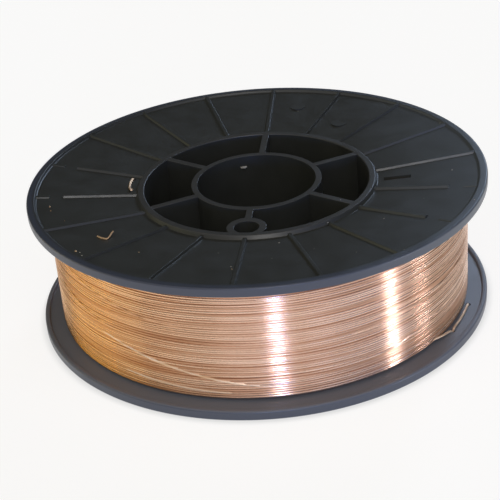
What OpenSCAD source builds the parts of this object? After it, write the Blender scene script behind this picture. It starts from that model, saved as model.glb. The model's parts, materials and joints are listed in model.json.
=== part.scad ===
// Wire spool for a welding machine: one black plastic moulding with two dished
// flanges, wound with copper-coated steel wire.
// Origin at the middle of the bottom rim, +Z up along the bore, driving hole on -Y.

/* [Spool] */
// Diameter over the flange rims
flange_d = 200; // [190:0.5:210]
// Width over the two rims
overall_w = 60; // [57:0.5:66]
// How far each end of the hub lies below the rim beside it
dish = 3.2; // [2.6:0.1:5]
// Thickness of a flange between the hub and its rim
web_t = 1.6; // [1.5:0.1:2.6]
// Height of the rim over its full width
rim_t = 4.2; // [3.8:0.1:6]
// Radial width of the land round the outside of the rim
rim_land_w = 3.4; // [2.6:0.1:5]
// Radial width of the bead round the inside of the rim
rim_bead_w = 2; // [1.6:0.1:3]
// Height of the rim land above the flange face beside it
rim_step = 1.6; // [1.2:0.1:2]
// Chamfer on the outer edges of the rim
rim_chamfer = 0.8; // [0.3:0.1:1.2]

/* [Hub] */
// Diameter of the bore that goes on the feeder's shaft
bore_d = 52; // [50.5:0.1:53]
// Wall of the tube round the bore
bore_wall = 2.6; // [2:0.1:3.5]
// Diameter of the drum that the wire is wound on
drum_d = 104; // [100:0.5:108]
// Wall of the drum
drum_wall = 2.8; // [2:0.1:3.5]
// Height of the drum's end above the flange face round it
ring_step = 1.7; // [1.3:0.1:2.1]
// Number of spokes between the bore tube and the drum
spokes = 6; // [3:1:8]
// Thickness of a spoke
spoke_t = 3; // [2:0.1:4]

/* [Driving hole] */
// Diameter of the hole that takes the feeder's driving pin
drive_d = 10.5; // [10:0.1:11]
// Distance of the driving hole from the bore axis
drive_r = 44.5; // [43.5:0.1:44.5]
// Wall of the tube round the driving hole
drive_wall = 3; // [2:0.1:3.5]

/* [Flange ribs] */
// Number of low radial ribs on the outside of each flange
rib_n = 18; // [6:1:24]
// Width of a rib's top
rib_w = 2.2; // [1.5:0.1:3]
// Height of a rib above the flange face
rib_h = 1.5; // [0.8:0.1:1.5]
// Slope of the walls of the ribs, the rim land and the drum's end, off upright, in degrees
wall_draft = 12; // [5:1:35]
// Ribs of the upper flange that have a break, counted from the driving hole
broken_ribs = [3, 4, 13, 14];
// Distance from the axis to the start of the break
rib_break_r = 84.3; // [75:0.1:88]
// Length of the break
rib_break_l = 6; // [3:0.5:7]

/* [Wire openings] */
// Distance from the drum to the inner end of the threading slot
slot_gap = 3.5; // [3:0.1:8]
// Length of the threading slot
slot_l = 11.8; // [6:0.1:16]
// Width of the threading slot
slot_w = 3; // [2:0.1:4]
// Diameter of the small holes for the wire's ends
wire_hole_d = 2.4; // [1.8:0.1:2.8]
// Distance from the drum to the hole that the first turn comes out of
start_hole_gap = 4.4; // [3.5:0.1:8]
// Azimuth of that hole
start_hole_az = 173.6; // [173:0.1:177]
// Distance from the flange's edge to the two holes that hold the last turn
end_hole_inset = 7; // [5.5:0.1:7.5]
// Azimuths of those two holes
end_hole_az = [-26.5, -12.6];

/* [Wire] */
// Diameter of the wire
wire_d = 1; // [0.6:0.1:1.2]
// Diameter over the wound wire
winding_d = 183; // [120:1:184]
// Gap left between the wound wire and the plastic round it
winding_gap = 0.1; // [0.05:0.05:0.3]
// Length of the wire's first end along the upper flange
start_tail_l = 13; // [5:0.5:20]
// Height of the last turn above the lower flange where it leaves the winding
end_turn_z = 2; // [1:0.1:6]

/* [Hidden] */
$fn = 96;
rim_r = flange_d / 2;
drum_r = drum_d / 2;
land_r = rim_r - rim_land_w;
bead_r = rim_r - rim_bead_w;
face_r = drum_r + ring_step * tan(wall_draft);
hub_l = overall_w - 2 * dish;
drum_in_r = drum_r - drum_wall;
slot_r = drum_r + slot_gap;
start_hole_r = drum_r + start_hole_gap;
end_hole_r = rim_r - end_hole_inset;
rib_in_r = drum_r - drum_wall / 2;
rib_out_r = land_r + rim_land_w / 2;
winding_r = winding_d / 2;
winding_in_r = drum_r + winding_gap;
face_slope = (dish + ring_step - rim_step) / (land_r - face_r);
dish_angle = atan(face_slope);
web_z = web_t / cos(dish_angle);

// Height of a flange's outer face, and of its inner one, above its rim plane at radius r
function face_z(r) = rim_step + (land_r - r) * face_slope;
function inner_z(r) = face_z(r) + web_z;
function polar(r, az, z) = [r * cos(az), r * sin(az), z];

function unit(v) = v / norm(v);
// Direction of a path at point i
function heading(path, i) =
    unit(path[min(i + 1, len(path) - 1)] - path[max(i - 1, 0)]);

// A round wire swept along a path, with side as a direction that it never runs along
module swept_wire(path, side, d, sides = 10) {
    rings = [
        for (i = [0 : len(path) - 1])
            let (t = heading(path, i), u = unit(cross(t, side)), v = cross(t, u))
                for (k = [0 : sides - 1])
                    path[i] + d / 2 * (cos(k * 360 / sides) * u + sin(k * 360 / sides) * v)
    ];
    last = (len(path) - 1) * sides;
    polyhedron(rings, concat(
        [[for (k = [sides - 1 : -1 : 0]) k]],
        [[for (k = [0 : sides - 1]) last + k]],
        [for (i = [0 : len(path) - 2], k = [0 : sides - 1])
            let (n = (k + 1) % sides)
                [i * sides + k, i * sides + n, (i + 1) * sides + n, (i + 1) * sides + k]]
    ));
}

// Outline of the lower half of the turned body, from the drum's end round the rim to the
// drum's outside, as [distance from the axis, height]
half_outline = [
    [drum_in_r, dish],
    [drum_r, dish],
    [face_r, face_z(face_r)],
    [land_r - rim_step * tan(wall_draft), face_z(land_r)],
    [land_r, 0],
    [rim_r - rim_chamfer, 0],
    [rim_r, rim_chamfer],
    [rim_r, rim_t - rim_chamfer],
    [rim_r - rim_chamfer, rim_t],
    [bead_r, rim_t],
    [bead_r - (rim_t - inner_z(bead_r)) / 3, inner_z(bead_r)],
    [drum_r, inner_z(drum_r)],
];

// Drum and both flanges, turned in one
module turned_body() {
    last = len(half_outline) - 1;
    upper = [for (i = [last : -1 : 0]) [half_outline[i].x, overall_w - half_outline[i].y]];
    rotate_extrude() polygon(concat(half_outline, upper));
}

// One stretch of a rib, which follows the slope of the flange's outer face
module rib(from_r, to_r) {
    foot = (rib_h + web_t / 2) * tan(wall_draft);
    translate([from_r, 0, face_z(from_r)])
        rotate([0, dish_angle, 0])
            rotate([90, 0, 90])
                linear_extrude((to_r - from_r) / cos(dish_angle))
                    polygon([
                        [-rib_w / 2, -rib_h],
                        [rib_w / 2, -rib_h],
                        [rib_w / 2 + foot, web_t / 2],
                        [-rib_w / 2 - foot, web_t / 2],
                    ]);
}

// The ribs of the lower flange, with the first at the driving hole
module ribs(broken) {
    for (i = [0 : rib_n - 1])
        rotate(-90 + i * 360 / rib_n)
            if (len(search(i, broken)) > 0) {
                rib(rib_in_r, rib_break_r);
                rib(rib_break_r + rib_break_l, rib_out_r);
            } else {
                rib(rib_in_r, rib_out_r);
            }
}

// Tube round the bore, with the driving hole's tube and the spokes that join them to the drum;
// the spoke at the driving hole stops at its tube
module hub() {
    bore_mid_r = (bore_d + bore_wall) / 2;
    drum_mid_r = drum_r - drum_wall / 2;
    translate([0, 0, dish]) {
        cylinder(h = hub_l, r = bore_d / 2 + bore_wall);
        for (i = [0 : spokes - 1])
            rotate(-90 + i * 360 / spokes)
                translate([bore_mid_r, -spoke_t / 2, 0])
                    cube([(i == 0 ? drive_r : drum_mid_r) - bore_mid_r, spoke_t, hub_l]);
        intersection() {
            translate([0, -drive_r, 0]) cylinder(h = hub_l, r = drive_d / 2 + drive_wall);
            cylinder(h = hub_l, r = drum_mid_r);
        }
    }
}

// Slot and holes through the flanges that the wire is threaded by
module wire_openings() {
    translate([slot_r, -slot_w / 2, overall_w / 2]) cube([slot_l, slot_w, overall_w]);
    translate(polar(start_hole_r, start_hole_az, overall_w / 2)) cylinder(h = overall_w, d = wire_hole_d);
    for (az = end_hole_az)
        translate(polar(end_hole_r, az, 0)) cylinder(h = overall_w / 2, d = wire_hole_d);
}

module spool() {
    color([0.13, 0.13, 0.13])
        difference() {
            union() {
                turned_body();
                hub();
                ribs([]);
                translate([0, 0, overall_w]) mirror([0, 0, 1]) ribs(broken_ribs);
            }
            cylinder(h = overall_w, d = bore_d);
            translate([0, -drive_r, 0]) cylinder(h = overall_w, d = drive_d);
            wire_openings();
        }
}

// Section of the wound wire, which fills the space between the flanges
module winding_section() {
    polygon([
        [winding_in_r, inner_z(winding_in_r) + winding_gap],
        [winding_r, inner_z(winding_r) + winding_gap],
        [winding_r, overall_w - inner_z(winding_r) - winding_gap],
        [winding_in_r, overall_w - inner_z(winding_in_r) - winding_gap],
    ]);
}

// First end: up through its hole and bent over along the outside of the upper flange
module start_tail() {
    low = overall_w - inner_z(start_hole_r) - wire_d;
    top = overall_w - face_z(start_hole_r) + wire_d / 2 + winding_gap;
    turn = start_tail_l / start_hole_r * 180 / PI;
    swept_wire([
        polar(start_hole_r, start_hole_az, low),
        polar(start_hole_r, start_hole_az, top - wire_d),
        polar(start_hole_r, start_hole_az + turn * 0.03, top - wire_d * 0.3),
        polar(start_hole_r, start_hole_az + turn * 0.1, top),
        polar(start_hole_r, start_hole_az + turn * 0.4, top),
        polar(start_hole_r - wire_d * 0.4, start_hole_az + turn * 0.75, top),
        polar(start_hole_r - wire_d * 1.5, start_hole_az + turn, top + wire_d / 2),
    ], polar(1, start_hole_az, 0), wire_d);
}

// Last end: off the winding, tucked into one hole of the lower flange and on to the next
module end_tail() {
    first = end_hole_az[0];
    next = end_hole_az[1];
    on_face = inner_z(end_hole_r) + wire_d / 2 + winding_gap;
    in_hole = on_face - wire_d;
    swept_wire([
        polar(winding_r - wire_d, first - 9, inner_z(winding_r) + end_turn_z),
        polar(winding_r + wire_d / 2, first - 5, on_face + wire_d),
        polar(end_hole_r - wire_d / 2, first - 1.5, on_face),
        polar(end_hole_r, first, in_hole),
        polar(end_hole_r, first + 1.5, on_face),
        polar(end_hole_r, first + 5, on_face),
        polar(end_hole_r, next - 4, on_face),
        polar(end_hole_r, next - 0.8, on_face),
        polar(end_hole_r, next, in_hole),
        polar(end_hole_r, next + 0.2, rim_step + wire_d),
    ], polar(1, (first + next) / 2, 0), wire_d);
}

module wire() {
    color([0.72, 0.48, 0.35]) {
        rotate_extrude() winding_section();
        start_tail();
        end_tail();
    }
}

spool();
wire();
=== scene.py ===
import json
import math

import bmesh
import bpy
from mathutils import Matrix, Vector, noise


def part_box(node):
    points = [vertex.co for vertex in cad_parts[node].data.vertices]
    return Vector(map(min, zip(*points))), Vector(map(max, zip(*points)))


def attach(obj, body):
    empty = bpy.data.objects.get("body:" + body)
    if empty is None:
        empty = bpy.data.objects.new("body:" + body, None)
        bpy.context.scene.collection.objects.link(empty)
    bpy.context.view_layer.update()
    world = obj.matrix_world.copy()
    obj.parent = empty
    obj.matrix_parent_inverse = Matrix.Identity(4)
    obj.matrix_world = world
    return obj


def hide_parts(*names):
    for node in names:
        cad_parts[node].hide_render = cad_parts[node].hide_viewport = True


# Full spool of copper-coated welding wire, lying flat on a pale floor.
# Everything is in metres, and MM turns a size in millimetres into metres.

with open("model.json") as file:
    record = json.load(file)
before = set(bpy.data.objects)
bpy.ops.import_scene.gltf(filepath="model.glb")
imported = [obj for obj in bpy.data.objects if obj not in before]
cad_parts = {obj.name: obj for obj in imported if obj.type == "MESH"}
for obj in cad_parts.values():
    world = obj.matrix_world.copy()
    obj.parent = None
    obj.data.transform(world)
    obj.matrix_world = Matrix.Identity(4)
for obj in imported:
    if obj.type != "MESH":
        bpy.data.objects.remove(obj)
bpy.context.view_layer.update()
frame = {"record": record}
MM = 0.001
FULL_TURN = math.tau

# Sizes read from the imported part
spool_low, spool_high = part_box("spool")
mounts = {mount["name"]: mount for mount in frame["record"]["mounts"]}
overall_w = spool_high.z - spool_low.z
rim_r = spool_high.x
bore_r = mounts["bore"]["dims"]["r_mm"] * MM
hub_l = mounts["bore"]["dims"]["length_mm"] * MM
drive_r = -mounts["driving_hole"]["pos_m"][1]
drive_hole_r = mounts["driving_hole"]["dims"]["r_mm"] * MM
dish = (overall_w - hub_l) / 2

# Sizes of the moulding
drum_r = 52 * MM
drum_wall = 2.8 * MM
bore_wall = 2.6 * MM
drive_wall = 3 * MM
spoke_count = 6
spoke_t = 3 * MM
spoke_sink = 0.1 * MM
web_hub_t = 1.6 * MM
web_rim_t = 2.2 * MM
rim_t = 4.2 * MM
rim_land_w = 3.4 * MM
rim_bead_w = 2 * MM
step_h = 1 * MM
step_w = 0.7 * MM
ring_h = 1.7 * MM
rib_count = 18
rib_w = 1.5 * MM
rib_h = 0.9 * MM
rib_stub_h = 0.4 * MM
rib_draft = math.radians(28)
rib_top_round = 0.12 * MM
rib_overlap = 0.5 * MM
ring_draft = math.radians(30)
broken_ribs = (3, 4, 13, 14)
rib_break_r = 84.3 * MM
rib_break_l = 6 * MM

# Roundings of the moulding's edges, from the drum out to the rim's bead, the width of the bead's
# slant, and the rounding of the hub's ends
drum_in_round = 0.5 * MM
drum_round = 0.45 * MM
ring_round = 0.4 * MM
step_round = 0.8 * MM
land_round = 0.5 * MM
rim_round = 0.8 * MM
bead_round = 0.35 * MM
bead_slant_w = 0.3 * MM
bead_foot_round = 0.1 * MM
hub_round = 0.4 * MM

# How finely round shapes are divided
body_steps = 240
core_steps = 180
bore_steps = 160
boss_steps = 64
mark_steps = 40
wire_hole_steps = 24

# Points nearer than this become one where a shape was spun or joined
spin_merge = 0.001 * MM
hub_merge = 0.005 * MM

# Sizes of the openings that the wire is threaded by
slot_r = 55.5 * MM
slot_l = 11.8 * MM
slot_w = 3 * MM
wire_hole_r = 1.2 * MM
start_hole = (56.4 * MM, 173.6)
end_holes = ((93 * MM, -26.5), (93 * MM, -12.6))

# Plain discs in the places where such a flange carries moulded marks
blank_marks = ((69 * MM, 60.5), (80.5 * MM, 80.5))
blank_mark_r = 3.6 * MM
blank_mark_h = 0.2 * MM

# Sizes of the wire
wire_d = 1 * MM
winding_r = 91.5 * MM
winding_gap = 0.1 * MM
layer_wire_d = 1.25 * MM
layer_turns = 50
start_tail_l = 13 * MM
chip_d = 0.7 * MM

# How far the solid heart and the crossing turns lie under the outside of the winding, and the
# under layer under the outer one
core_depth = 1.7 * wire_d
crossing_depth = 0.4 * wire_d
under_depth = 0.8 * wire_d

# Turns drift less the nearer they are to a flange, starting this far from it
calm_edge = 3 * wire_d

# Gaps between turns are wider by up to about this share of the narrowest
gap_growth = 0.45

# Turns that cross over the others: from and to azimuth in degrees, from and to height in mm
crossings = (
    (-122, -78, 19, 9.5), (-135, -100, 24, 16), (-128, -84, 9.5, 6.8),
    (-70, 10, 27, 33), (-160, -118, 34, 27), (20, 110, 40, 30),
    (120, 190, 15, 26), (200, 260, 46, 36), (-62, -20, 13, 19),
)

# How deep the ends of a crossing turn dive, as a share of the wire's thickness
crossing_dive = 0.9

# How many of the crossing turns, from the first on, are paler than the rest: scraped, and with
# a painted highlight
stray_turns = 3

# Flakes on the upper side: radius in mm, azimuth in degrees, height in mm where it isn't the
# flange's face, size in mm
copper_flakes = (
    (90.1, -163.9, None, 1.1), (90.0, -161.3, None, 0.8), (86.0, -153.9, None, 0.6),
    (77.0, -122.2, None, 0.6), (93.5, -135.2, None, 1.2), (97.9, -18.8, 60.05, 0.6),
    (81.0, -91.4, None, 0.6), (68.5, -35.3, None, 0.5),
)
pale_flakes = (
    (93.0, -133.8, None, 0.7), (94.0, -132.1, None, 0.8), (94.3, -129.9, None, 0.6),
    (78.7, -91.9, None, 0.7), (85.0, 1.0, None, 1.0), (53.1, -51.4, 56.2, 0.8),
    (54.3, -49.6, None, 0.7), (43.8, -30.7, 56.95, 0.7), (58.6, -75.9, None, 0.7),
    (75.9, 79.6, None, 0.5), (95.8, 31.8, None, 0.8), (95.2, -47.9, None, 0.6),
    (76.1, -18.0, None, 0.4), (62.5, -108.0, None, 0.4), (70.5, -66.0, None, 0.4),
    # The long flake inside the bore at 109 degrees is no dust: it is a painted highlight on the
    # bore's far wall
    (25.9, 109.0, 51.5, 3.2), (83.5, -57.0, None, 0.4), (66.0, -98.0, None, 0.4),
    (73.0, -80.0, None, 0.35),
)

# A flake's proportions, how high it lies and how deep its dents are as shares of its size, and
# how many dents go to a metre
flake_shape = (1, 0.6, 0.35)
flake_lift = 0.1
flake_dent = 0.12
flake_grain = 4000

# The photograph's camera: its place round the object, its lens and where its frame is centred
IMAGE_SIZE = 500
FOCAL_PX = 1314.567
SENSOR = 36
CAMERA_AZIMUTH = -82.768
CAMERA_ELEVATION = 27.696
CAMERA_DISTANCE = 0.588134
CAMERA_ROLL = -4.710
TARGET_PX = (260.72, 233.386)

drum_in_r = drum_r - drum_wall
land_r = rim_r - rim_land_w
bead_r = rim_r - rim_bead_w
face_r = drum_r + ring_h * math.tan(ring_draft)
face_slope = (dish + ring_h - step_h) / (land_r - face_r)
face_angle = math.atan(face_slope)


def face_z(r):
    """Height of the lower flange's outer face at radius r"""
    return step_h + (land_r - r) * face_slope


def inner_z(r):
    """Height of the lower flange's inner face at radius r"""
    across = (r - face_r) / (land_r - face_r)
    return face_z(r) + web_hub_t + (web_rim_t - web_hub_t) * across


def polar(r, azimuth, z):
    """Point at radius r, azimuth in degrees and height z"""
    a = math.radians(azimuth)
    return Vector((r * math.cos(a), r * math.sin(a), z))


def direction(azimuth, elevation):
    """Unit vector towards an azimuth and an elevation, both in degrees"""
    e = math.radians(elevation)
    return polar(math.cos(e), azimuth, math.sin(e))


def linear(hex_colour):
    """Linear RGBA from an sRGB hex colour"""
    channels = [int(hex_colour[i:i + 2], 16) / 255 for i in (1, 3, 5)]
    return [c / 12.92 if c <= 0.04045 else ((c + 0.055) / 1.055) ** 2.4 for c in channels] + [1]


# Camera and floor

def add_camera():
    data = bpy.data.cameras.new("photo_camera")
    data.sensor_width = SENSOR
    data.lens = FOCAL_PX * SENSOR / IMAGE_SIZE
    data.shift_x = (IMAGE_SIZE / 2 - TARGET_PX[0]) / IMAGE_SIZE
    data.shift_y = (TARGET_PX[1] - IMAGE_SIZE / 2) / IMAGE_SIZE
    data.clip_start = 0.01
    camera = bpy.data.objects.new("photo_camera", data)
    bpy.context.scene.collection.objects.link(camera)
    target = Vector((0, 0, overall_w / 2))
    towards_camera = direction(CAMERA_AZIMUTH, CAMERA_ELEVATION)
    aim = towards_camera.to_track_quat("Z", "Y").to_matrix().to_4x4()
    roll = Matrix.Rotation(math.radians(CAMERA_ROLL), 4, "Z")
    camera.matrix_world = Matrix.Translation(target + CAMERA_DISTANCE * towards_camera) @ aim @ roll
    bpy.context.scene.camera = camera


def add_sun(name, azimuth, elevation, width, power, colour):
    """Soft light from far away: width is its angle across in degrees"""
    data = bpy.data.lights.new(name, "SUN")
    data.energy = power
    data.angle = math.radians(width)
    data.color = linear(colour)[:3]
    lamp = bpy.data.objects.new(name, data)
    lamp.rotation_euler = direction(azimuth, elevation).to_track_quat("Z", "Y").to_euler()
    bpy.context.scene.collection.objects.link(lamp)


def add_card(name, facing, azimuth, distance, width, radiance, colour):
    """Upright glowing card no higher than the winding, so that the recess above it stays dark.

    facing is the azimuth on the winding that it is seen from, azimuth and distance say where
    it stands from there, and width is its angle across; all angles are in degrees.
    """
    data = bpy.data.lights.new(name, "AREA")
    data.shape = "RECTANGLE"
    data.size = 2 * distance * math.tan(math.radians(width) / 2)
    data.size_y = overall_w - 2 * rim_t
    data.energy = radiance * math.pi * data.size * data.size_y
    data.color = linear(colour)[:3]
    lamp = bpy.data.objects.new(name, data)
    outwards = direction(azimuth, 0)
    lamp.location = polar(winding_r, facing, overall_w / 2) + distance * outwards
    lamp.rotation_euler = outwards.to_track_quat("Z", "Y").to_euler()
    lamp.visible_camera = False
    bpy.context.scene.collection.objects.link(lamp)


def add_world(colour, strength):
    world = bpy.data.worlds.new("studio")
    bpy.context.scene.world = world
    world.use_nodes = True
    background = world.node_tree.nodes["Background"]
    background.inputs["Color"].default_value = linear(colour)
    background.inputs["Strength"].default_value = strength


def add_floor(material):
    bm = bmesh.new()
    bmesh.ops.create_grid(bm, x_segments=1, y_segments=1, size=6)
    floor = object_from(bm, "floor", material)


# Meshes

def object_from(bm, name, material):
    """Object at the origin from a bmesh, with smooth faces"""
    mesh = bpy.data.meshes.new(name)
    for face in bm.faces:
        face.smooth = True
    bm.to_mesh(mesh)
    bm.free()
    piece = bpy.data.objects.new(name, mesh)
    bpy.context.scene.collection.objects.link(piece)
    mesh.materials.append(material)
    return piece


def finished(piece, crease=30):
    """Keeps edges over the crease angle sharp and flat faces flat"""
    piece.data.set_sharp_from_angle(angle=math.radians(crease))
    weighted = piece.modifiers.new("flat_faces", "WEIGHTED_NORMAL")
    weighted.keep_sharp = True
    weighted.weight = 80
    return piece


def combine(piece, tool, operation):
    """Joins a tool to the piece or cuts it out, and removes the tool"""
    boolean = piece.modifiers.new("combine", "BOOLEAN")
    boolean.solver = "EXACT"
    boolean.operation = operation
    boolean.object = tool
    graph = bpy.context.evaluated_depsgraph_get()
    mesh = bpy.data.meshes.new_from_object(piece.evaluated_get(graph))
    piece.modifiers.clear()
    piece.data = mesh
    bpy.data.objects.remove(tool)


def rounded(corners, arc_steps=4):
    """Points of a closed outline through corners (x, y, radius), with an arc in each"""
    points = []
    for i, (x, y, radius) in enumerate(corners):
        here = Vector((x, y))
        if radius == 0:
            points.append(here)
            continue
        back = (Vector(corners[i - 1][:2]) - here).normalized()
        ahead = (Vector(corners[(i + 1) % len(corners)][:2]) - here).normalized()
        half = back.angle(ahead) / 2
        centre = here + (back + ahead).normalized() * radius / math.sin(half)
        start = here + back * radius / math.tan(half) - centre
        end = here + ahead * radius / math.tan(half) - centre
        for step in range(arc_steps + 1):
            spoke = start.lerp(end, step / arc_steps)
            points.append(centre + spoke.normalized() * radius)
    return points


def turned(outline, steps):
    """Bmesh of a closed outline of (radius, height), spun round the axis"""
    bm = bmesh.new()
    verts = [bm.verts.new((r, 0, z)) for r, z in outline]
    edges = [bm.edges.new((verts[i - 1], verts[i])) for i in range(len(verts))]
    bmesh.ops.spin(
        bm, geom=verts + edges, cent=(0, 0, 0), axis=(0, 0, 1), dvec=(0, 0, 0),
        angle=FULL_TURN, steps=steps, use_merge=True, use_duplicate=False,
    )
    bmesh.ops.remove_doubles(bm, verts=bm.verts, dist=spin_merge)
    bmesh.ops.recalc_face_normals(bm, faces=bm.faces)
    return bm


def add_block(bm, size, centre, azimuth=0):
    """Box of a size with its centre at a place, turned about the axis; returns its vertices"""
    place = Matrix.Rotation(math.radians(azimuth), 4, "Z") @ Matrix.Translation(centre)
    made = bmesh.ops.create_cube(bm, size=1, matrix=place @ Matrix.Diagonal((*size, 1)))
    return made["verts"]


def add_post(bm, radius, centre, length, steps):
    """Upright cylinder with its middle at a place"""
    bmesh.ops.create_cone(
        bm, cap_ends=True, segments=steps, radius1=radius, radius2=radius, depth=length,
        matrix=Matrix.Translation(centre),
    )


# The moulded spool

def body_outline():
    """Section of the drum with both flanges"""
    lower = [
        (drum_in_r, dish, drum_in_round),
        (drum_r, dish, drum_round),
        (face_r, face_z(face_r), ring_round),
        (land_r - step_w, face_z(land_r - step_w), step_round),
        (land_r, 0, land_round),
        (rim_r, 0, rim_round),
        (rim_r, rim_t, rim_round),
        (bead_r, rim_t, bead_round),
        (bead_r - bead_slant_w, inner_z(bead_r), bead_foot_round),
        (drum_r, inner_z(drum_r), 0),
    ]
    upper = [(r, overall_w - z, radius) for r, z, radius in reversed(lower)]
    return rounded(lower + upper)


def rib_stretch(bm, azimuth, from_r, to_r, top_h):
    """One stretch of a rib on the lower flange: a drafted bar with a rounded top"""
    deep = web_hub_t / 2
    height = top_h + deep
    length = (to_r - from_r) / math.cos(face_angle)
    piece = bmesh.new()
    verts = add_block(piece, (length, rib_w, height), (length / 2, 0, deep - height / 2))
    spread = 1 + 2 * height * math.tan(rib_draft) / rib_w
    for vert in verts:
        if vert.co.z > 0:
            vert.co.y *= spread
    top = [
        edge for edge in piece.edges
        if all(vert.co.z < 0 for vert in edge.verts)
    ]
    bmesh.ops.bevel(
        piece, geom=top, offset=rib_top_round, segments=3, profile=0.5, affect="EDGES",
        material=-1, clamp_overlap=True,
    )
    slope = Matrix.Rotation(face_angle, 4, "Y")
    turn = Matrix.Rotation(math.radians(azimuth), 4, "Z")
    place = turn @ Matrix.Translation((from_r, 0, face_z(from_r)))
    bmesh.ops.transform(piece, matrix=place @ slope, verts=piece.verts)
    mesh = bpy.data.meshes.new("rib")
    piece.to_mesh(mesh)
    piece.free()
    bm.from_mesh(mesh)
    bpy.data.meshes.remove(mesh)


def flange_ribs(broken):
    """Bmesh of the lower flange's ribs, with a gap in each broken one"""
    bm = bmesh.new()
    inner = drum_r - drum_wall / 2
    outer = land_r + rib_overlap
    for i in range(rib_count):
        azimuth = -90 + i * 360 / rib_count
        if i in broken:
            rib_stretch(bm, azimuth, inner, rib_break_r, rib_h)
            rib_stretch(bm, azimuth, rib_break_r + rib_break_l, outer, rib_stub_h)
        else:
            rib_stretch(bm, azimuth, inner, outer, rib_h)
    return bm


def hub(material):
    """Bore tube with its spokes and the driving hole's tube"""
    length = hub_l - 2 * spoke_sink
    middle = Vector((0, 0, overall_w / 2))
    drive_middle = middle + Vector((0, -drive_r, 0))
    tube = bmesh.new()
    add_post(tube, bore_r + bore_wall, middle, length, bore_steps)
    solid = object_from(tube, "hub", material)
    mid_r = bore_r + bore_wall / 2
    reach = drum_r - drum_wall / 2
    for i in range(spoke_count):
        outer = drive_r if i == 0 else reach
        spoke = bmesh.new()
        add_block(spoke, (outer - mid_r, spoke_t, length), ((mid_r + outer) / 2, 0, middle.z),
                  -90 + i * 360 / spoke_count)
        combine(solid, object_from(spoke, "spoke", material), "UNION")
    boss = bmesh.new()
    add_post(boss, drive_hole_r + drive_wall, drive_middle, length, boss_steps)
    boss = object_from(boss, "driving_boss", material)
    limit = bmesh.new()
    add_post(limit, reach, middle, length * 2, bore_steps)
    combine(boss, object_from(limit, "limit", material), "INTERSECT")
    combine(solid, boss, "UNION")
    drills = ((bore_r, middle, bore_steps), (drive_hole_r, drive_middle, boss_steps))
    for radius, centre, steps in drills:
        drill = bmesh.new()
        add_post(drill, radius, centre, length * 2, steps)
        combine(solid, object_from(drill, "drill", material), "DIFFERENCE")
    round_ends(solid)
    return solid


def round_ends(piece):
    """Rounds the edges between the walls and the two flat ends"""
    bm = bmesh.new()
    bm.from_mesh(piece.data)
    bmesh.ops.remove_doubles(bm, verts=bm.verts, dist=hub_merge)
    bmesh.ops.dissolve_limit(
        bm, angle_limit=math.radians(0.5), use_dissolve_boundaries=False,
        verts=bm.verts, edges=bm.edges, delimit=set(),
    )
    bm.normal_update()
    rims = []
    for edge in bm.edges:
        if len(edge.link_faces) == 2:
            ends = sum(abs(face.normal.z) > 0.9 for face in edge.link_faces)
            if ends == 1:
                rims.append(edge)
    bmesh.ops.bevel(
        bm, geom=rims, offset=hub_round, segments=3, profile=0.5, affect="EDGES",
        material=-1, clamp_overlap=True,
    )
    bmesh.ops.recalc_face_normals(bm, faces=bm.faces)
    bm.to_mesh(piece.data)
    bm.free()
    for face in piece.data.polygons:
        face.use_smooth = True


def add_spool(material):
    spool = object_from(turned(body_outline(), body_steps), "spool_moulding", material)
    lower = object_from(flange_ribs(()), "lower_ribs", material)
    upper_bm = flange_ribs(broken_ribs)
    for r, azimuth in blank_marks:
        add_post(upper_bm, blank_mark_r, polar(r, azimuth, face_z(r)), 2 * blank_mark_h, mark_steps)
    for vert in upper_bm.verts:
        vert.co.z = overall_w - vert.co.z
    bmesh.ops.reverse_faces(upper_bm, faces=upper_bm.faces)
    upper = object_from(upper_bm, "upper_ribs", material)
    combine(spool, lower, "UNION")
    combine(spool, upper, "UNION")
    combine(spool, hub(material), "UNION")
    cuts = bmesh.new()
    cut_h = overall_w / 4
    add_block(cuts, (slot_l, slot_w, cut_h), (slot_r + slot_l / 2, 0, overall_w))
    add_post(cuts, wire_hole_r, polar(*start_hole, overall_w), cut_h, wire_hole_steps)
    for r, azimuth in end_holes:
        add_post(cuts, wire_hole_r, polar(r, azimuth, 0), cut_h, wire_hole_steps)
    combine(spool, object_from(cuts, "cuts", material), "DIFFERENCE")
    for face in spool.data.polygons:
        face.use_smooth = True
    finished(spool)
    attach(spool, "root")
    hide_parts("spool")


# The wound wire

def smooth_path(points, steps):
    """Points of a smooth curve through a list of points"""
    ends = [2 * points[0] - points[1]] + points + [2 * points[-1] - points[-2]]
    path = []
    for before, start, end, after in zip(ends, ends[1:], ends[2:], ends[3:]):
        for step in range(steps):
            t = step / steps
            path.append(0.5 * (
                2 * start + (end - before) * t
                + (2 * before - 5 * start + 4 * end - after) * t * t
                + (3 * start - before - 3 * end + after) * t ** 3))
    return path + [points[-1]]


def strand(name, points, sides, material, thickness=wire_d):
    """Round wire along a list of points, as a mesh"""
    curve = bpy.data.curves.new(name, "CURVE")
    curve.dimensions = "3D"
    curve.twist_mode = "Z_UP"
    curve.bevel_depth = thickness / 2
    curve.bevel_resolution = sides // 2 - 2
    curve.use_fill_caps = True
    line = curve.splines.new("POLY")
    line.points.add(len(points) - 1)
    for point, place in zip(line.points, points):
        point.co = (*place, 1)
    holder = bpy.data.objects.new(name, curve)
    bpy.context.scene.collection.objects.link(holder)
    graph = bpy.context.evaluated_depsgraph_get()
    mesh = bpy.data.meshes.new_from_object(holder.evaluated_get(graph))
    bpy.data.objects.remove(holder)
    bpy.data.curves.remove(curve)
    mesh.name = name
    mesh.materials.clear()
    mesh.materials.append(material)
    for face in mesh.polygons:
        face.use_smooth = True
    piece = bpy.data.objects.new(name, mesh)
    bpy.context.scene.collection.objects.link(piece)
    return piece


def wander(turn, azimuth, seed, wave):
    """Smooth drift from -1 to 1 that joins up round each turn"""
    a = math.radians(azimuth)
    place = Vector((math.cos(a) * wave, math.sin(a) * wave, turn * 0.37 + seed * 17.3))
    return noise.noise(place) * 1.6


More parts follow.
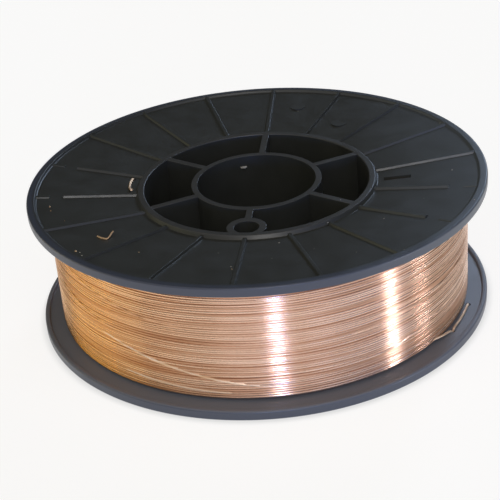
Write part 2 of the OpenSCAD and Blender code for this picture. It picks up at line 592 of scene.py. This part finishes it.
def turn_heights(count, low, high, seed):
    """Heights of the turns of a layer, unevenly spaced between low and high"""
    gaps = [1 + gap_growth * max(0, noise.noise((i * 0.9, seed * 3.1, 0))) for i in range(count)]
    scale = (high - low) / sum(gaps[:-1])
    heights = [low]
    for gap in gaps[:-1]:
        heights.append(heights[-1] + gap * scale)
    return heights


def layer_points(radius, count, per_turn, seed, drift, lift):
    """Points along a layer of the winding, with turns that wander as machine-wound wire does"""
    low = inner_z(radius) + winding_gap + layer_wire_d / 2
    heights = turn_heights(count + 1, low, overall_w - low, seed)
    points = []
    for i in range(count * per_turn + 1):
        turn = i / per_turn
        whole = min(int(turn), count - 1)
        azimuth = turn * 360
        height = heights[whole] + (heights[whole + 1] - heights[whole]) * (turn - whole)
        edge = min(1, (height - low) / calm_edge, (overall_w - low - height) / calm_edge)
        z = height + drift * max(edge, 0) * wander(turn, azimuth, seed, 1.6)
        r = radius + lift * wander(turn * 2.3, azimuth, seed + 5, 2.4)
        points.append(polar(r, azimuth, z))
    return points


def crossing(radius, from_az, to_az, from_z, to_z, steps=40):
    """Strand that rides over its neighbours: it rises out of the layer and dives back"""
    points = []
    for i in range(steps + 1):
        t = i / steps
        rise = math.sin(math.pi * t) ** 0.4
        z = from_z + (to_z - from_z) * (3 * t * t - 2 * t ** 3)
        r = radius + wire_d * (rise - crossing_dive)
        points.append(polar(r, from_az + (to_az - from_az) * t, z))
    return points


def add_winding(material, stray_material, core_material):
    """The wound wire: a solid heart, two layers of turns, and turns that cross over them"""
    top_r = winding_r - layer_wire_d / 2
    core_low = inner_z(winding_r) + winding_gap
    core_r = winding_r - core_depth
    core = [
        (drum_r + winding_gap, inner_z(drum_r) + winding_gap),
        (core_r, core_low),
        (core_r, overall_w - core_low),
        (drum_r + winding_gap, overall_w - inner_z(drum_r) - winding_gap),
    ]
    core = object_from(turned(core, core_steps), "inner_layers", core_material)
    finished(core)
    under = strand(
        "under_layer",
        layer_points(
            top_r - under_depth, layer_turns, per_turn=120, seed=2, drift=0.15 * MM,
            lift=0.05 * MM),
        6, material, layer_wire_d)
    outer = strand(
        "outer_layer",
        layer_points(
            top_r, layer_turns, per_turn=190, seed=1, drift=0.36 * MM, lift=0.09 * MM),
        8, material, layer_wire_d)
    pieces = [core, under, outer]
    for i, (from_az, to_az, from_z, to_z) in enumerate(crossings):
        points = crossing(winding_r - crossing_depth, from_az, to_az, from_z * MM, to_z * MM)
        coat = stray_material if i < stray_turns else material
        pieces.append(strand(f"crossing_turn_{i + 1}", points, 8, coat))
    for piece in pieces:
        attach(piece, "root")
    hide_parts("wire")


def add_wire_ends(material):
    """First end, bent over on the upper flange, and last end, tucked through the lower flange"""
    r, azimuth = start_hole
    face_top = overall_w - face_z(r) + wire_d / 2 + winding_gap
    turn = math.degrees(start_tail_l / r)
    start = [
        polar(r, azimuth, overall_w - inner_z(r) - wire_d),
        polar(r, azimuth, face_top - wire_d),
        polar(r, azimuth + turn * 0.03, face_top - wire_d * 0.3),
        polar(r, azimuth + turn * 0.1, face_top),
        polar(r, azimuth + turn * 0.4, face_top),
        polar(r - wire_d * 0.4, azimuth + turn * 0.75, face_top),
        polar(r - wire_d * 1.5, azimuth + turn, face_top + wire_d / 2),
    ]
    (r, first), (_, last) = end_holes
    on_face = inner_z(r) + wire_d / 2 + winding_gap
    end = [
        polar(winding_r - wire_d, first - 9, inner_z(winding_r) + 2 * wire_d),
        polar(winding_r + wire_d / 2, first - 5, on_face + wire_d),
        polar(r - wire_d / 2, first - 1.5, on_face),
        polar(r, first, on_face - wire_d),
        polar(r, first + 1.5, on_face),
        polar(r, first + 5, on_face),
        polar(r, last - 4, on_face),
        polar(r, last - 0.8, on_face),
        polar(r, last, on_face - wire_d),
        polar(r, last + 0.2, step_h + wire_d),
    ]
    for name, points in (("first_wire_end", start), ("last_wire_end", end)):
        piece = strand(name, smooth_path(points, 6), 12, material)
        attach(piece, "root")


# Loose bits on the upper flange

def on_flange(r, azimuth, lift):
    """Point just above the outside of the upper flange, for a radius in mm"""
    return polar(r * MM, azimuth, overall_w - max(face_z(r * MM), 0) + lift)


def add_chip(material):
    """Bent offcut of wire that lies on the flange"""
    bends = [
        on_flange(79.6, -139.4, 0.35 * MM), on_flange(79.0, -137.6, 0.35 * MM),
        on_flange(77.9, -136.2, 0.35 * MM), on_flange(76.4, -136.6, 0.5 * MM),
        on_flange(74.3, -137.7, 1.0 * MM), on_flange(73.0, -138.3, 1.3 * MM),
    ]
    chip = strand("wire_chip", smooth_path(bends, 4), 10, material, chip_d)
    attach(chip, "root")


def add_flakes(name, places, material):
    """Tiny uneven flakes that lie on the flange and the hub, as one piece"""
    bm = bmesh.new()
    flatten = Matrix.Diagonal((*flake_shape, 1))
    for i, (r, azimuth, z, size) in enumerate(places):
        if z is None:
            spot = on_flange(r, azimuth, flake_lift * size * MM)
        else:
            spot = polar(r * MM, azimuth, z * MM)
        shape = Matrix.Rotation(math.radians(azimuth + 90), 4, "Z") @ flatten
        place = Matrix.Translation(spot) @ shape
        made = bmesh.ops.create_icosphere(bm, subdivisions=2, radius=size * MM / 2, matrix=place)
        for vert in made["verts"]:
            dent = noise.noise_vector(vert.co * flake_grain + Vector((i, 0, 0)))
            vert.co += flake_dent * size * MM * dent
    flakes = object_from(bm, name, material)
    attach(flakes, "root")


# Materials

def add(tree, kind, settings=None, links=None):
    """Adds a node, with settings by attribute or input name and links from other sockets"""
    node = tree.nodes.new(kind)
    for key, value in (settings or {}).items():
        if isinstance(key, str) and hasattr(node, key):
            setattr(node, key, value)
        else:
            node.inputs[key].default_value = value
    for key, socket in (links or {}).items():
        tree.links.new(socket, node.inputs[key])
    return node


def new_material(name):
    """Material with an empty tree but its output and a shader"""
    material = bpy.data.materials.new(name)
    material.use_nodes = True
    tree = material.node_tree
    tree.nodes.clear()
    shader = add(tree, "ShaderNodeBsdfPrincipled")
    add(tree, "ShaderNodeOutputMaterial", links={"Surface": shader.outputs["BSDF"]})
    return material, tree, shader


def fade(tree, socket, start, end):
    """Mask that goes from 0 to 1 as a value goes from start to end"""
    return add(
        tree, "ShaderNodeMapRange", {"From Min": start, "From Max": end}, {"Value": socket}
    ).outputs["Result"]


def both(tree, first, second):
    """Mask where two masks meet"""
    return add(
        tree, "ShaderNodeMath", {"operation": "MULTIPLY"}, {0: first, 1: second}
    ).outputs["Value"]


def pale_places(tree, place):
    """Masks of the places where the plastic is paler, each with its colour"""
    parts = add(tree, "ShaderNodeSeparateXYZ", links={"Vector": place})
    height, sideways = parts.outputs["Z"], parts.outputs["X"]
    flat = add(tree, "ShaderNodeVectorMath", {"operation": "MULTIPLY", 1: (1, 1, 0)}, {0: place})
    reach = add(
        tree, "ShaderNodeVectorMath", {"operation": "LENGTH"}, {0: flat.outputs["Vector"]})
    radius = reach.outputs["Value"]
    hub_top = overall_w - dish
    # Handling scuffs both rims, and their bluish tone is a painted reflection
    scuff_and_sheen = fade(tree, radius, land_r, bead_r)
    # Dust and a painted bluish sheen pale what the lower flange turns up
    dust_and_sheen = both(
        tree, fade(tree, height, rim_t + 3 * MM, rim_t),
        fade(tree, radius, rim_r, rim_r - 0.5 * MM))
    # The ring round the hub and the hub's upper end are rubbed
    rubbed = both(
        tree, fade(tree, height, hub_top - 0.6 * MM, hub_top - 0.2 * MM),
        fade(tree, radius, face_r + 0.4 * MM, drum_r))
    # Painted sheen: the upper flange is paler towards the right, standing in for a reflection
    painted_sheen = both(
        tree, fade(tree, height, hub_top - ring_h - 1 * MM, hub_top),
        fade(tree, sideways, 0.4 * rim_r, rim_r))
    return (scuff_and_sheen, "#3b404c"), (dust_and_sheen, "#6a6e76"), (rubbed, "#393937"), (painted_sheen, "#4c5156")


def moulded_plastic():
    """Moulded black polystyrene: satin, with a faint mottle, paler worn and dusty places, and paler
    places of painted sheen and reflection
    """
    material, tree, shader = new_material("moulded_black_polystyrene")
    shader.inputs["IOR"].default_value = 1.55
    place = add(tree, "ShaderNodeTexCoord").outputs["Object"]
    mottle = add(tree, "ShaderNodeTexNoise", {"Scale": 90, "Detail": 4}, {"Vector": place})
    colour = add(
        tree, "ShaderNodeMix", {"data_type": "RGBA", 6: linear("#2c2d2a"), 7: linear("#353632")},
        {0: mottle.outputs["Fac"]})
    for mask, pale in pale_places(tree, place):
        colour = add(
            tree, "ShaderNodeMix", {"data_type": "RGBA", 7: linear(pale)},
            {0: mask, 6: colour.outputs[2]})
    tree.links.new(colour.outputs[2], shader.inputs["Base Color"])
    rough = add(
        tree, "ShaderNodeMapRange",
        {"From Min": 0.3, "From Max": 0.7, "To Min": 0.33, "To Max": 0.44},
        {"Value": mottle.outputs["Fac"]})
    tree.links.new(rough.outputs["Result"], shader.inputs["Roughness"])
    grain = add(tree, "ShaderNodeTexNoise", {"Scale": 1800, "Detail": 2}, {"Vector": place})
    bump = add(
        tree, "ShaderNodeBump", {"Strength": 0.25, "Distance": 0.05 * MM},
        {"Height": grain.outputs["Fac"]})
    tree.links.new(bump.outputs["Normal"], shader.inputs["Normal"])
    return material


def coppered_steel(name, light, dark, smoothest=0.23, roughest=0.32, metallic=1, golden_reflection_share=1):
    """Drawn steel wire with a thin copper coat: its gloss is sharp along the wire and soft across

    Each turn has its own tone, with long stretches that are duller. A painted golden reflection
    yellows the coat towards the left, and the last argument says how much.
    """
    material, tree, shader = new_material(name)
    shader.inputs["Metallic"].default_value = metallic
    shader.inputs["Anisotropic"].default_value = 0.95
    shader.inputs["Anisotropic Rotation"].default_value = 0.25
    place = add(tree, "ShaderNodeTexCoord").outputs["Object"]
    along = add(
        tree, "ShaderNodeVectorMath", {"operation": "CROSS_PRODUCT", 0: (0, 0, 1)}, {1: place})
    tree.links.new(along.outputs["Vector"], shader.inputs["Tangent"])
    stretched = add(tree, "ShaderNodeMapping", {"Scale": (1, 1, 60)}, {"Vector": place})
    stretches = add(
        tree, "ShaderNodeTexNoise", {"Scale": 14, "Detail": 3},
        {"Vector": stretched.outputs["Vector"]})
    tone = add(
        tree, "ShaderNodeMapRange", {"From Min": 0.34, "From Max": 0.62},
        {"Value": stretches.outputs["Fac"]})
    colour = add(
        tree, "ShaderNodeMix", {"data_type": "RGBA", 6: linear(dark), 7: linear(light)},
        {0: tone.outputs["Result"]})
    side = add(tree, "ShaderNodeSeparateXYZ", links={"Vector": place})
    # Painted golden reflection: the base colour turns towards gold on the left, where the copper
    # reflects warm light
    golden_reflection_mask = add(
        tree, "ShaderNodeMapRange", {"From Min": 0, "From Max": -winding_r, "To Max": golden_reflection_share},
        {"Value": side.outputs["X"]})
    tinted = add(
        tree, "ShaderNodeMix",
        {"data_type": "RGBA", "blend_type": "MULTIPLY", 7: linear("#efce78")},
        {0: golden_reflection_mask.outputs["Result"], 6: colour.outputs[2]})
    tree.links.new(tinted.outputs[2], shader.inputs["Base Color"])
    rough = add(
        tree, "ShaderNodeMapRange", {"To Min": roughest, "To Max": smoothest},
        {"Value": tone.outputs["Result"]})
    tree.links.new(rough.outputs["Result"], shader.inputs["Roughness"])
    return material


def dust_and_glint():
    """Pale lint and plastic crumbs, and a painted highlight in the bore: matt and nearly white"""
    material, tree, shader = new_material("pale_dust_and_glint")
    shader.inputs["Roughness"].default_value = 0.8
    place = add(tree, "ShaderNodeTexCoord").outputs["Object"]
    tone = add(tree, "ShaderNodeTexNoise", {"Scale": 900}, {"Vector": place})
    colour = add(
        tree, "ShaderNodeMix", {"data_type": "RGBA", 6: linear("#77746e"), 7: linear("#c9c6bd")},
        {0: tone.outputs["Fac"]})
    tree.links.new(colour.outputs[2], shader.inputs["Base Color"])
    return material


def paper_floor():
    """Matt white paper, which glows to stay pale everywhere but under the spool"""
    material, tree, shader = new_material("white_paper")
    shader.inputs["Base Color"].default_value = linear("#8c8c8c")
    shader.inputs["Roughness"].default_value = 1
    shader.inputs["Specular IOR Level"].default_value = 0
    shader.inputs["Emission Color"].default_value = (1, 0.995, 0.985, 1)
    place = add(tree, "ShaderNodeTexCoord").outputs["Object"]
    reach = add(tree, "ShaderNodeVectorMath", {"operation": "LENGTH"}, {0: place})
    glow = add(
        tree, "ShaderNodeMapRange",
        {"From Min": 0.9 * rim_r, "From Max": 1.03 * rim_r, "To Min": 0, "To Max": 0.825},
        {"Value": reach.outputs["Value"]})
    tree.links.new(glow.outputs["Result"], shader.inputs["Emission Strength"])
    return material


bpy.context.scene.view_settings.view_transform = "Standard"
add_camera()
add_floor(paper_floor())
add_world("#454543", 1)
add_sun("ceiling_light", -95, 62, 90, 0.8, "#fffaf0")
add_sun("ring_light", -79, 36, 5, 0.42, "#fffdf6")
add_sun("front_light", -80, 14, 60, 0.25, "#f2ecff")
add_sun("front_blue_light", -79, 4, 6, 0.5, "#5f93ff")
add_sun("right_light", -35, 12, 60, 0.45, "#b4c8ff")
add_sun("back_right_sky", 73, 25, 14, 1.0, "#a0b2cc")
add_sun("left_light", -175, 14, 50, 0.4, "#e2dcb0")
add_card("key_card", -80.8, -79, 1.2, 1.2, 60, "#eceaff")
add_card("right_window_card", -48.3, -18.2, 1.2, 5, 220, "#e8eeff")
add_card("second_window_card", -37.6, 1.4, 1.2, 10, 26, "#f4f0ff")
add_card("front_card", -95, -110, 0.5, 45, 0.5, "#ffe6d8")
add_card("warm_left_card", -120, -150, 0.5, 45, 1, "#ffd08a")
add_card("golden_left_card", -142, 175, 0.5, 40, 2, "#ffd800")

plastic = moulded_plastic()
copper = coppered_steel("coppered_steel_wire", "#f2d0ba", "#d3a283")
# Paler copper for the stray turns, wire ends, chip and flakes: scraped coat, and partly a painted
# highlight where they catch the light
scuffed_and_glint_copper = coppered_steel(
    "scuffed_and_glint_coppered_wire", "#ffe6cc", "#f2cba0",
    smoothest=0.35, roughest=0.5, metallic=0.6, golden_reflection_share=0.2)
# Darker copy of the copper for the solid heart under the turns: painted shade between the turns
shaded_copper = coppered_steel("shaded_coppered_wire", "#b07a58", "#84563a")
add_spool(plastic)
add_winding(copper, scuffed_and_glint_copper, shaded_copper)
add_wire_ends(scuffed_and_glint_copper)
add_chip(scuffed_and_glint_copper)
add_flakes("copper_flakes", copper_flakes, scuffed_and_glint_copper)
add_flakes("pale_flakes", pale_flakes, dust_and_glint())
